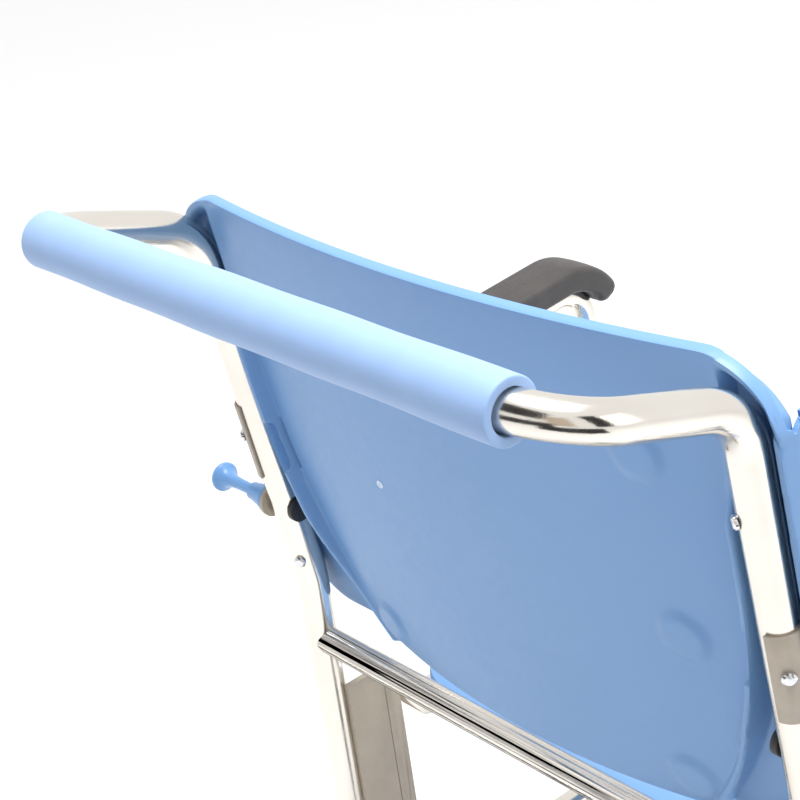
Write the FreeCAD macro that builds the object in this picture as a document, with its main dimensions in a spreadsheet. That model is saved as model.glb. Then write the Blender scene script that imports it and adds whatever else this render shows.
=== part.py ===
"""Stair chair: bent-tube rear frame with a moulded back, swing-up armrests and a
seat, front frame and lower link that fold together as a parallelogram.

Frame: +X is the occupant's left, -Y the way the occupant faces, +Z up.
The origin is on the floor, under the middle of the chair's box.
"""
import FreeCAD, Part
import math
import os
import re

V = FreeCAD.Vector
X_AXIS = V(1, 0, 0)
Y_AXIS = V(0, 1, 0)
Z_AXIS = V(0, 0, 1)
SIDES = (("left", 1), ("right", -1))

# Driving dimensions, in millimetres and degrees.
SIZES = {
    # handle loop, uprights and rear legs: one bent tube
    "tube_d": 25.4, "tube_wall": 1.6, "bar_y": 370.0, "bar_z": 920.0, "bar_corner": 250.0,
    "upright_x": 248.0, "arm_run": 132.0, "arm_drop": 44.0, "recline_angle": 8.65,
    "upright_length": 314.0, "loop_bend": 50.0, "leg_end": 66.0, "leg_bend": 90.0,
    "foam_d": 38.0, "foam_length": 436.0,
    # moulded back
    "shell_top": 26.0, "shell_bottom": 346.0, "shell_wall": 4.0, "shell_half": 271.0,
    "shell_bow": 14.0, "panel_edge": 216.0, "panel_edge_back": -3.0, "shell_corner": 46.0,
    "ridge_in": 222.0, "ridge_out": 228.0, "ridge_top": 2.0, "channel_in": 232.5,
    "channel_out": 263.5, "channel_floor": -15.4, "wing_front": -34.0, "wing_back": 2.0,
    "wing_inner": 265.5, "wing_wall": 5.0, "notch_in": 246.0, "notch_start": 224.0,
    "notch_length": 54.0,
    # screws on the uprights
    "screw_d": 5.0, "screw_head_d": 9.5, "screw_head_high": 3.2, "screw_length": 16.0,
    "shell_screw_upper": 72.0, "shell_screw_lower": 292.0, "shell_screw_angle": 35.0,
    "saddle_start": 147.0, "saddle_length": 65.0, "saddle_wall": 2.2, "saddle_angle": 45.0,
    # armrests
    "rest_d": 22.0, "rest_wall": 1.5, "rest_x": 313.0, "rest_pivot_y": 180.0,
    "rest_pivot_z": 629.0, "rest_root": 266.0, "rest_nose_y": -190.0, "rest_nose_z": 658.0,
    "rest_tip_y": -197.0, "rest_tip_z": 608.0, "rest_root_bend": 34.0, "rest_nose_bend": 32.0,
    "pad_width": 50.0, "pad_thick": 23.0, "pad_sink": 3.0, "pad_start": 60.0, "pad_curl": 72.0, "bolt_d": 8.0,
    "bracket_wall": 4.0, "running_gap": 0.05,
    # armrest release knob
    "knob_y": 204.5, "knob_z": 633.5, "knob_d": 24.0, "knob_thick": 7.0, "knob_neck_d": 9.0,
    "knob_disc_x": 325.5, "cone_base_d": 23.5, "cone_tip_d": 13.0, "cone_length": 26.0,
    "cap_d": 19.0, "cap_thick": 5.0,
    # hinges of the folding linkage
    "rail_d": 22.0, "rail_wall": 1.5, "rail_x": 186.0, "hinge_y": 149.0, "seat_hinge_z": 452.0,
    "link_hinge_z": 252.0, "link_reach": 379.0, "eye_d": 23.0, "eye_width": 24.0, "pin_d": 10.0,
    "open_gap": 0.4, "plate_wall": 5.0,
    # seat
    "seat_half": 199.0, "seat_rear": 159.0, "seat_front": -252.0, "seat_thick": 18.0,
    "seat_corner": 40.0, "seat_under": 463.5, "seat_edge": 4.0, "screw_inset": 112.0,
    # front frame, footrest and lift handles
    "leg_x": 215.0, "leg_top": 470.0, "leg_bottom": 140.0, "cross_z": 151.0,
    "foot_pin_y": -256.0, "foot_half": 118.0, "foot_front": -389.0, "foot_rear": -262.0,
    "foot_under": 92.0, "foot_thick": 11.0, "foot_arm_x": 100.0, "foot_pin_d": 8.0,
    "lift_x": 244.0, "lift_pin_z": 424.0, "lift_d": 20.0, "lift_wall": 1.5,
    "lift_length": 240.0, "grip_d": 30.0, "grip_length": 118.0,
    # castors
    "castor_d": 100.0, "castor_width": 22.0, "castor_trail": 32.0, "castor_tyre": 9.0,
    "stem_d": 11.0, "castor_axle_d": 8.0, "fork_wall": 3.0, "fork_top": 128.0,
    # rear wheels
    "wheel_d": 180.0, "wheel_width": 30.0, "wheel_x": 285.0, "tyre_thick": 16.0,
    "axle_d": 12.0, "axle_end": 310.0, "hub_d": 44.0,
    "cross_d": 22.0, "upper_cross_z": 506.0, "lower_cross_z": 176.0,
}

doc = FreeCAD.newDocument("stair_chair")
sheet = doc.addObject("Spreadsheet::Sheet", "Sizes")
for row, (alias, value) in enumerate(SIZES.items(), start=1):
    sheet.set("A%d" % row, alias)
    sheet.set("B%d" % row, str(value))
    sheet.setAlias("B%d" % row, alias)
doc.recompute()

nodes = {}


def size(alias):
    """The number in one cell of the sheet."""
    return float(sheet.get(alias))


def cells(formula):
    """A formula written with bare aliases, as an expression on the sheet."""
    return re.sub(r"[a-z_]\w*", r"Sizes.\g<0>", formula)


def keep(label, thing):
    """Give a sub-part the name of its file."""
    thing.Label = label
    nodes[label] = thing
    return thing


def cylinder(name, base, axis, radius, height):
    solid = doc.addObject("Part::Cylinder", name)
    solid.setExpression("Radius", cells(radius))
    solid.setExpression("Height", cells(height))
    solid.Placement = FreeCAD.Placement(base, FreeCAD.Rotation(Z_AXIS, axis))
    return solid


def cone(name, base, axis, base_radius, tip_radius, height):
    solid = doc.addObject("Part::Cone", name)
    solid.setExpression("Radius1", cells(base_radius))
    solid.setExpression("Radius2", cells(tip_radius))
    solid.setExpression("Height", cells(height))
    solid.Placement = FreeCAD.Placement(base, FreeCAD.Rotation(Z_AXIS, axis))
    return solid


def box(name, corner, length, width, height):
    solid = doc.addObject("Part::Box", name)
    solid.setExpression("Length", cells(length))
    solid.setExpression("Width", cells(width))
    solid.setExpression("Height", cells(height))
    solid.Placement = FreeCAD.Placement(corner, FreeCAD.Rotation())
    return solid


def fuse(name, *parts):
    whole = doc.addObject("Part::MultiFuse", name)
    whole.Shapes = list(parts)
    return whole


def group(name, *parts):
    """Several separate solids in one sub-part."""
    whole = doc.addObject("Part::Compound", name)
    whole.Links = list(parts)
    return whole


def cut(name, base, *tools):
    whole = doc.addObject("Part::Cut", name)
    whole.Base = base
    whole.Tool = tools[0] if len(tools) == 1 else fuse(name + "_tools", *tools)
    return whole


def tube(name, base, axis, outer, wall, length):
    """A straight tube; the bore runs past both ends of the wall."""
    skin = cylinder(name + "_skin", base, axis, outer + " / 2", length)
    past = V(axis).normalize()
    bore = cylinder(name + "_bore", base - past, axis, "%s / 2 - %s" % (outer, wall), length + " + 2")
    return cut(name, skin, bore)


def bent_path(points, radii):
    """Straight runs joined by tangent arcs, as one wire, and its length."""
    edges = []
    start = points[0]
    length = 0.0
    for corner, after, radius in zip(points[1:-1], points[2:], radii):
        into = (corner - start).normalize()
        away = (after - corner).normalize()
        turn = into.getAngle(away)
        reach = radius * math.tan(turn / 2)
        arc_start = corner - into * reach
        arc_end = corner + away * reach
        middle = (away - into).normalize()
        arc_middle = corner + middle * radius * (1 / math.cos(turn / 2) - 1)
        edges.append(Part.LineSegment(start, arc_start).toShape())
        edges.append(Part.Arc(arc_start, arc_middle, arc_end).toShape())
        length += (arc_start - start).Length + radius * turn
        start = arc_end
    edges.append(Part.LineSegment(start, points[-1]).toShape())
    length += (points[-1] - start).Length
    return Part.Wire(edges), length


def swept(path, start, direction, radius):
    ring = Part.Wire(Part.Circle(start, direction, radius).toShape())
    return path.makePipeShell([ring], True, False)


def bent_tube(name, points, radii, outer, wall):
    """A bent tube with its bore, from the sheet's diameter and wall."""
    path, length = bent_path(points, radii)
    direction = points[1] - points[0]
    outside = size(outer) / 2
    inside = outside - size(wall)
    solid = swept(path, points[0], direction, outside).cut(swept(path, points[0], direction, inside))
    wanted = math.pi * (outside ** 2 - inside ** 2) * length
    assert abs(solid.Volume - wanted) < 0.01 * wanted, "%s: volume %.0f, wanted %.0f" % (
        name, solid.Volume, wanted)
    feature = doc.addObject("Part::Feature", name)
    feature.Shape = solid
    return feature


def plane_of(body, role):
    return next(plane for plane in body.Origin.OriginFeatures if plane.Role == role)


def sketch_on(body, role, name):
    sketch = body.newObject("Sketcher::SketchObject", name)
    sketch.AttachmentSupport = [(plane_of(body, role), "")]
    sketch.MapMode = "FlatFace"
    return sketch


def cell_value(word):
    """A coordinate given as an alias, with a minus sign where it is negative."""
    return -size(word[1:]) if word.startswith("-") else size(word)


def outline(sketch, corners):
    """Closed outline through corners given as pairs of aliases, each bound to its cells."""
    import Sketcher
    points = [V(cell_value(across), cell_value(up), 0) for across, up in corners]
    for index, point in enumerate(points):
        following = points[(index + 1) % len(points)]
        sketch.addGeometry(Part.LineSegment(point, following), False)
    for index, (across, up) in enumerate(corners):
        for kind, word in (("DistanceX", across), ("DistanceY", up)):
            place = sketch.addConstraint(
                Sketcher.Constraint(kind, -1, 1, index, 1, cell_value(word)))
            sketch.setExpression("Constraints[%d]" % place, cells(word))
    return points


def pad(body, sketch, length, midplane=False):
    feature = body.newObject("PartDesign::Pad", sketch.Name + "_pad")
    feature.Profile = sketch
    feature.setExpression("Length", cells(length))
    feature.Midplane = midplane
    return feature


def mirrored(point, side):
    return V(side * point.x, point.y, point.z)


tilt = math.radians(size("recline_angle"))
DOWN = V(0, -math.sin(tilt), -math.cos(tilt))
REAR = V(0, math.cos(tilt), -math.sin(tilt))
UPRIGHT_TURN = FreeCAD.Rotation(X_AXIS, -size("recline_angle"))
UPRIGHT_TOP = V(size("upright_x"), size("bar_y") - size("arm_run"), size("bar_z") - size("arm_drop"))
KINK = UPRIGHT_TOP + DOWN * size("upright_length")


def on_upright(side, along):
    return mirrored(UPRIGHT_TOP + DOWN * along, side)


# ---------------------------------------------------------------- rear frame

def handle_loop():
    """Push bar, both uprights and both rear legs, bent from one tube."""
    half = [V(KINK.x, KINK.y, size("leg_end")), KINK, UPRIGHT_TOP,
            V(size("bar_corner"), size("bar_y"), size("bar_z"))]
    points = half + [mirrored(point, -1) for point in reversed(half)]
    bends = [size("leg_bend"), size("loop_bend"), size("loop_bend")]
    loop = bent_tube("loop", points, bends + bends[::-1], "tube_d", "tube_wall")
    axle_hole = cylinder("axle_hole", V(-size("axle_end"), KINK.y, size("wheel_d") / 2), X_AXIS,
                         "axle_d / 2 + running_gap", "2 * axle_end")
    keep("handle_loop_tube", cut("drilled_loop", loop, axle_hole))


def foam_grip():
    start = V(-size("foam_length") / 2, size("bar_y"), size("bar_z"))
    end = V(size("foam_length") / 2, size("bar_y"), size("bar_z"))
    sleeve = cylinder("foam", start, X_AXIS, "foam_d / 2", "foam_length")
    half = [end + X_AXIS, V(-size("bar_corner"), size("bar_y"), size("bar_z"))]
    path, _ = bent_path([mirrored(UPRIGHT_TOP, 1), V(size("bar_corner"), size("bar_y"), size("bar_z")),
                         half[1], mirrored(UPRIGHT_TOP, -1)], [size("loop_bend")] * 2)
    core = doc.addObject("Part::Feature", "foam_core")
    core.Shape = swept(path, UPRIGHT_TOP,
                       V(size("bar_corner"), size("bar_y"), size("bar_z")) - UPRIGHT_TOP,
                       size("tube_d") / 2)
    keep("foam_grip", cut("foam_sleeve", sleeve, core))


def back_shell():
    """Bowed panel, a ridge beside each upright, a channel the upright lies in, and
    a wing that wraps forward outside it; the section is padded along the uprights,
    trimmed to the rounded outline, and notched round the armrest's bracket."""
    section = doc.addObject("PartDesign::Body", "shell_section")
    profile = sketch_on(section, "XY_Plane", "shell_profile")
    wall = size("shell_wall")
    half = [V(size("panel_edge"), size("panel_edge_back")), V(size("ridge_in"), size("ridge_top")),
            V(size("ridge_out"), size("ridge_top")), V(size("channel_in"), size("channel_floor")),
            V(size("channel_out"), size("channel_floor")), V(size("wing_inner"), size("wing_back")),
            V(size("shell_half"), size("wing_back")), V(size("shell_half"), size("channel_floor")),
            V(size("shell_half") - 2, size("wing_front")),
            V(size("shell_half") - 2 - size("wing_wall"), size("wing_front")),
            V(size("shell_half") - size("wing_wall") - 3, size("channel_floor") - wall),
            V(size("ridge_out"), size("channel_floor") - wall),
            V(size("panel_edge") + 2, size("panel_edge_back") - wall)]
    other = [V(-point.x, point.y) for point in reversed(half)]
    rear_arc = Part.Arc(other[-1], V(0, size("shell_bow")), half[0])
    front_arc = Part.Arc(half[-1], V(0, size("shell_bow") - wall), other[0])
    profile.addGeometry(rear_arc, False)
    for first, second in zip(half, half[1:]):
        profile.addGeometry(Part.LineSegment(first, second), False)
    profile.addGeometry(front_arc, False)
    for first, second in zip(other, other[1:]):
        profile.addGeometry(Part.LineSegment(first, second), False)
    pad(section, profile, "shell_top + shell_bottom")

    trim = doc.addObject("PartDesign::Body", "shell_trim")
    face = sketch_on(trim, "XZ_Plane", "shell_outline")
    height = size("shell_top") + size("shell_bottom")
    corner = size("shell_corner")
    wide = size("shell_half") + 1
    chord = corner * (1 - math.sqrt(0.5))
    lower_left = V(-wide, corner)
    upper_left = V(-wide, height - corner - 6)
    upper_run = V(-wide + corner, height - 6)
    low_run = V(-wide + corner, 0)
    flip = [V(-point.x, point.y) for point in (lower_left, upper_left, upper_run, low_run)]
    face.addGeometry(Part.LineSegment(lower_left, upper_left), False)
    face.addGeometry(Part.Arc(upper_left, V(-wide + chord, height - 6 - chord), upper_run), False)
    face.addGeometry(Part.Arc(upper_run, V(0, height), flip[2]), False)
    face.addGeometry(Part.Arc(flip[2], V(wide - chord, height - 6 - chord), flip[1]), False)
    face.addGeometry(Part.LineSegment(flip[1], flip[0]), False)
    face.addGeometry(Part.Arc(flip[0], V(wide - chord, chord), flip[3]), False)
    face.addGeometry(Part.LineSegment(flip[3], low_run), False)
    face.addGeometry(Part.Arc(low_run, V(-wide + chord, chord), lower_left), False)
    pad(trim, face, "shell_half", midplane=True)
    whole = doc.addObject("Part::Common", "shell_whole")
    whole.Base = section
    whole.Tool = trim
    notches = []
    low = size("shell_bottom") - size("notch_start") - size("notch_length")
    reach = size("shell_half") + 1 - size("notch_in")
    for word, side in SIDES:
        left = size("notch_in") if side > 0 else -size("notch_in") - reach
        notches.append(box("notch_" + word, V(left, size("wing_front") - 1, low),
                           "shell_half + 1 - notch_in", "wing_back - wing_front + 2",
                           "notch_length"))
    shell = cut("shell", whole, *notches)
    foot = UPRIGHT_TOP + DOWN * size("shell_bottom")
    shell.Placement = FreeCAD.Placement(V(0, foot.y, foot.z), UPRIGHT_TURN)
    keep("back_shell", shell)


def pan_screw(name, seat, out):
    """Domed pan head with its shank reaching into the tube."""
    head = cylinder(name + "_head", seat, out, "screw_head_d / 2", "screw_head_high * 0.6")
    crown = cone(name + "_crown", seat + out * size("screw_head_high") * 0.6, out,
                 "screw_head_d / 2", "screw_head_d / 3", "screw_head_high * 0.4")
    shank = cylinder(name + "_shank", seat - out * size("screw_length"), out,
                     "screw_d / 2", "screw_length")
    return fuse(name, head, crown, shank)


def radial(side, angle):
    """Direction square to an upright, turned from the rear towards the outside."""
    turn = math.radians(angle)
    return X_AXIS * (side * math.sin(turn)) + REAR * math.cos(turn)


def drill(name, seat, out):
    return cylinder(name, seat - out * (size("screw_length") + 1), out, "screw_d / 2", "screw_length + 8")


def upright_screws():
    """Two screws on each upright hold the back; the tube is drilled for them."""
    screws = []
    holes = []
    radius = size("tube_d") / 2
    for word, side in SIDES:
        out = radial(side, -size("shell_screw_angle"))
        for level in ("upper", "lower"):
            seat = on_upright(side, size("shell_screw_" + level)) + out * radius
            screws.append(pan_screw("shell_screw_%s_%s" % (level, word), seat, out))
            holes.append(drill("shell_hole_%s_%s" % (level, word), seat, out))
        out = radial(side, size("saddle_angle"))
        seat = on_upright(side, size("saddle_start") + size("saddle_length") * 0.45) + out * radius
        holes.append(drill("saddle_hole_" + word, seat, out))
    keep("shell_screws", group("back_screws", *screws))
    loop = nodes["handle_loop_tube"]
    loop.Label = "loop_before_holes"
    keep("handle_loop_tube", cut("loop_with_holes", loop, *holes))


def saddles():
    """Half-round sheet brackets that clasp the outer half of each upright."""
    screws = []
    for word, side in SIDES:
        start = on_upright(side, size("saddle_start") + size("saddle_length"))
        up = DOWN * -1
        band = tube("saddle_band_" + word, start, up, "(tube_d + 2 * saddle_wall)", "saddle_wall",
                    "saddle_length")
        inner = box("saddle_trim_" + word, V(0, 0, 0), "tube_d * 2", "tube_d * 2", "saddle_length + 4")
        reach = size("tube_d") * 2
        away = -reach if side > 0 else 0.0
        local = FreeCAD.Placement(start, UPRIGHT_TURN)
        inner.Placement = local.multiply(FreeCAD.Placement(V(away, -reach / 2, -2), FreeCAD.Rotation()))
        out = radial(side, size("saddle_angle"))
        seat = on_upright(side, size("saddle_start") + size("saddle_length") * 0.45)
        hole = cylinder("saddle_bore_" + word, seat, out, "screw_d / 2", "tube_d")
        keep("saddle_" + word, cut("saddle_body_" + word, band, inner, hole))
        face = seat + out * (size("tube_d") / 2 + size("saddle_wall"))
        screws.append(pan_screw("saddle_screw_" + word, face, out))
    keep("saddle_screws", group("saddle_screw_pair", *screws))


def arm_brackets():
    """Plate on the outside of each upright that carries the armrest's pivot bolt and
    the release knob's housing; a black cap closes the tube's inner side."""
    bolts = []
    caps = []
    for word, side in SIDES:
        out = X_AXIS * side
        face = size("upright_x") + size("tube_d") / 2
        pivot = V(side * face, size("rest_pivot_y"), size("rest_pivot_z"))
        knob = V(side * face, size("knob_y"), size("knob_z"))
        ends = fuse("bracket_ends_" + word,
                    cylinder("bracket_front_" + word, pivot, out, "rest_d / 2 + 2", "bracket_wall"),
                    cylinder("bracket_rear_" + word, knob, out, "cone_base_d / 2 + 1", "bracket_wall"))
        bolt_hole = cylinder("bracket_bolt_hole_" + word, pivot - out, out, "bolt_d / 2",
                             "bracket_wall + 2")
        pin_hole = cylinder("bracket_pin_hole_" + word, knob - out, out,
                            "knob_neck_d / 2 - 1 + running_gap", "bracket_wall + 2")
        keep("arm_bracket_" + word, cut("arm_bracket_body_" + word, ends, bolt_hole, pin_hole))
        bolts.append(cylinder("arm_bolt_" + word, pivot, out, "bolt_d / 2",
                              "rest_root - upright_x - tube_d / 2 + 14"))
        cap_seat = V(side * (size("upright_x") - size("tube_d") / 2 - size("cap_thick") + 1.5),
                     size("knob_y") - 3, size("knob_z"))
        dome = cylinder("cap_" + word, cap_seat, out, "cap_d / 2", "cap_thick")
        core = cylinder("cap_core_" + word, on_upright(side, size("upright_length") * 0.5),
                        DOWN, "tube_d / 2", "upright_length * 0.5")
        caps.append(cut("cap_body_" + word, dome, core))
        housing = cone("cone_skin_" + word, knob + out * size("bracket_wall"), out,
                       "cone_base_d / 2", "cone_tip_d / 2", "cone_length")
        bore = cylinder("cone_bore_" + word, knob, out, "knob_neck_d / 2 - 1 + running_gap",
                        "cone_length + bracket_wall + 2")
        keep("knob_housing_" + word, cut("knob_cone_" + word, housing, bore))
    keep("arm_pivot_bolts", group("arm_bolt_pair", *bolts))
    keep("inner_caps", group("cap_pair", *caps))


def pull_knobs():
    """Disc, short neck and the lock pin that runs in the housing."""
    for word, side in SIDES:
        out = X_AXIS * side
        at = V(0, size("knob_y"), size("knob_z"))
        pin_start = size("upright_x") + size("tube_d") / 2 + 0.5
        tip = size("upright_x") + size("tube_d") / 2 + size("bracket_wall") + size("cone_length")
        pin = cylinder("knob_pin_" + word, at + out * pin_start, out, "knob_neck_d / 2 - 1",
                       "knob_disc_x - upright_x - tube_d / 2")
        neck = cone("knob_neck_" + word, at + out * (tip + 0.5), out, "knob_neck_d / 2",
                    "knob_d / 5", "knob_disc_x - upright_x - tube_d / 2 - bracket_wall - cone_length - 0.5")
        disc = cylinder("knob_disc_" + word, at + out * size("knob_disc_x"), out, "knob_d / 2",
                        "knob_thick")
        keep("pull_knob_" + word, fuse("pull_knob_body_" + word, pin, neck, disc))


def cross_tubes():
    """Two straight tubes tie the rear legs together; the ends are coped to the legs."""
    legs = fuse("leg_cores", *[
        cylinder("leg_core_" + word, V(side * KINK.x, KINK.y, 0), Z_AXIS, "tube_d / 2", "leg_x * 2.5")
        for word, side in SIDES])
    for level in ("upper", "lower"):
        bar = tube(level + "_cross", V(-KINK.x, KINK.y, size(level + "_cross_z")), X_AXIS, "cross_d",
                   "rail_wall", "2 * upright_x")
        keep(level + "_cross_tube", cut(level + "_cross_coped", bar, legs))


def hinge_plates():
    """A plate inside each rear leg holds the pins of the seat and of the lower link."""
    pins = []
    thick = size("plate_wall")
    for word, side in SIDES:
        out = X_AXIS * side
        face = size("upright_x") - size("tube_d") / 2 - thick
        low = V(side * face if side > 0 else -face - thick, size("hinge_y") - 13,
                size("link_hinge_z") - 13)
        plate = box("plate_" + word, low, "plate_wall", "eye_d + 28",
                    "seat_hinge_z - link_hinge_z + eye_d")
        holes = []
        for level in ("seat", "link"):
            at = V(side * (size("rail_x") - size("rail_d") / 2 - 3), size("hinge_y"),
                   size(level + "_hinge_z"))
            pins.append(cylinder("hinge_pin_%s_%s" % (level, word), at, out, "pin_d / 2",
                                 "upright_x - tube_d / 2 - rail_x + rail_d / 2 + 3"))
            holes.append(cylinder("hinge_hole_%s_%s" % (level, word), at, out, "pin_d / 2", "leg_x"))
        keep("hinge_plate_" + word, cut("hinge_plate_body_" + word, plate, *holes))
    keep("hinge_pins", group("hinge_pin_set", *pins))


def rear_axle():
    """Solid axle through both rear legs, with a spacer and a cap nut at each wheel."""
    z = size("wheel_d") / 2
    end = size("axle_end")
    keep("rear_axle", cylinder("axle", V(-end + 4, KINK.y, z), X_AXIS, "axle_d / 2", "2 * axle_end - 8"))
    spacers = []
    nuts = []
    plugs = []
    for word, side in SIDES:
        out = X_AXIS * side
        spacer = V(side * (size("upright_x") + size("tube_d") / 2), KINK.y, z)
        ring = cylinder("spacer_skin_" + word, spacer, out, "axle_d / 2 + 3",
                        "wheel_x - wheel_width / 2 - upright_x - tube_d / 2 - 0.4")
        hole = cylinder("spacer_hole_" + word, spacer, out, "axle_d / 2", "wheel_width")
        spacers.append(cut("spacer_" + word, ring, hole))
        nut = V(side * (size("wheel_x") + size("wheel_width") / 2 + 0.4), KINK.y, z)
        cap = cylinder("nut_skin_" + word, nut, out, "axle_d / 2 + 5",
                       "axle_end - wheel_x - wheel_width / 2 - 0.4")
        hole = cylinder("nut_hole_" + word, nut - out, out, "axle_d / 2",
                        "axle_end - wheel_x - wheel_width / 2 - 3")
        nuts.append(cut("nut_" + word, cap, hole))
        base = V(side * KINK.x, KINK.y, size("leg_end") - 4)
        rim = cylinder("leg_plug_rim_" + word, base, Z_AXIS, "tube_d / 2", "4")
        stub = cylinder("leg_plug_stub_" + word, base, Z_AXIS, "tube_d / 2 - tube_wall", "4 + 12")
        plugs.append(fuse("leg_plug_" + word, rim, stub))
    keep("axle_spacers", group("spacer_pair", *spacers))
    keep("axle_nuts", group("nut_pair", *nuts))
    keep("rear_leg_plugs", group("leg_plug_pair", *plugs))


# ---------------------------------------------------------------- seat and lower link

def rail_frame(name, hinge_z, front_gap, crossings):
    """Two rails with an eye at each end, welded to cross tubes."""
    parts = []
    holes = []
    reach = size("link_reach")
    for word, side in SIDES:
        x = side * size("rail_x")
        front = V(x, size("hinge_y") - reach, hinge_z)
        skin = cylinder("%s_rail_%s" % (name, word), front, Y_AXIS, "rail_d / 2", "link_reach")
        parts.append(skin)
        holes.append(cylinder("%s_rail_bore_%s" % (name, word), front + Y_AXIS * size("eye_d") / 2,
                              Y_AXIS, "rail_d / 2 - rail_wall", "link_reach - eye_d"))
        for end, y, gap in (("rear", size("hinge_y"), "running_gap"),
                            ("front", size("hinge_y") - reach, front_gap)):
            at = V(x - size("eye_width") / 2, y, hinge_z)
            parts.append(cylinder("%s_eye_%s_%s" % (name, end, word), at, X_AXIS, "eye_d / 2",
                                  "eye_width"))
            holes.append(cylinder("%s_eye_bore_%s_%s" % (name, end, word), at - X_AXIS, X_AXIS,
                                  "pin_d / 2 + " + gap, "eye_width + 2"))
    for index, y in enumerate(crossings):
        parts.append(cylinder("%s_cross_%d" % (name, index), V(-size("rail_x"), y, hinge_z), X_AXIS,
                              "rail_d / 2 - 1", "2 * rail_x"))
    return cut(name + "_whole", fuse(name + "_skin", *parts), *holes)


def seat():
    """Rails, a moulded seat with a rounded edge, and its four screws."""
    z = size("seat_hinge_z")
    crossings = [size("hinge_y") - 60, size("hinge_y") - size("link_reach") + 60]
    frame = rail_frame("seat_frame_part", z, "running_gap", crossings)
    board = doc.addObject("PartDesign::Body", "seat_board")
    face = sketch_on(board, "XY_Plane", "seat_outline")
    outline(face, [("-seat_half", "seat_front"), ("seat_half", "seat_front"),
                   ("seat_half", "seat_rear"), ("-seat_half", "seat_rear")])
    slab = pad(board, face, "seat_thick")
    doc.recompute()
    tall = ["Edge%d" % (index + 1) for index, edge in enumerate(slab.Shape.Edges)
            if abs(edge.tangentAt(edge.FirstParameter).z) > 0.9]
    corners = board.newObject("PartDesign::Fillet", "seat_corners")
    corners.Base = (slab, tall)
    corners.setExpression("Radius", cells("seat_corner"))
    doc.recompute()
    thick = size("seat_thick")
    rims = ["Edge%d" % (index + 1) for index, edge in enumerate(corners.Shape.Edges)
            if edge.BoundBox.ZLength < 0.01 and abs(edge.BoundBox.ZMin - thick) < 0.01]
    rim = board.newObject("PartDesign::Fillet", "seat_rim")
    rim.Base = (corners, rims)
    rim.setExpression("Radius", cells("seat_edge"))
    board.Placement = FreeCAD.Placement(V(0, 0, size("seat_under")), FreeCAD.Rotation())
    screws = []
    holes = []
    for word, side in SIDES:
        for index, y in enumerate(crossings):
            at = V(side * size("screw_inset"), y, z - size("rail_d") / 2 + 1)
            name = "seat_screw_%s_%d" % (word, index)
            head = cylinder(name + "_head", at - Z_AXIS * size("screw_head_high"), Z_AXIS,
                            "screw_head_d / 2", "screw_head_high")
            shank = cylinder(name + "_shank", at, Z_AXIS, "screw_d / 2",
                             "seat_under - seat_hinge_z + rail_d / 2 + seat_thick / 2")
            screws.append(fuse(name, head, shank))
            holes.append(cylinder(name + "_hole", at - Z_AXIS * 2, Z_AXIS, "screw_d / 2",
                                  "seat_under - seat_hinge_z + rail_d / 2 + seat_thick / 2 + 3"))
    keep("seat_frame", cut("seat_frame_drilled", frame, *holes))
    keep("seat_panel", cut("seat_panel_drilled", board, *holes))
    keep("seat_screws", group("seat_screw_set", *screws))


def lower_link():
    middle = size("hinge_y") - size("link_reach") / 2
    keep("lower_link_frame", rail_frame("lower_link_part", size("link_hinge_z"), "open_gap", [middle]))


# ---------------------------------------------------------------- front frame

FRONT_Y = size("hinge_y") - size("link_reach")


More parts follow.
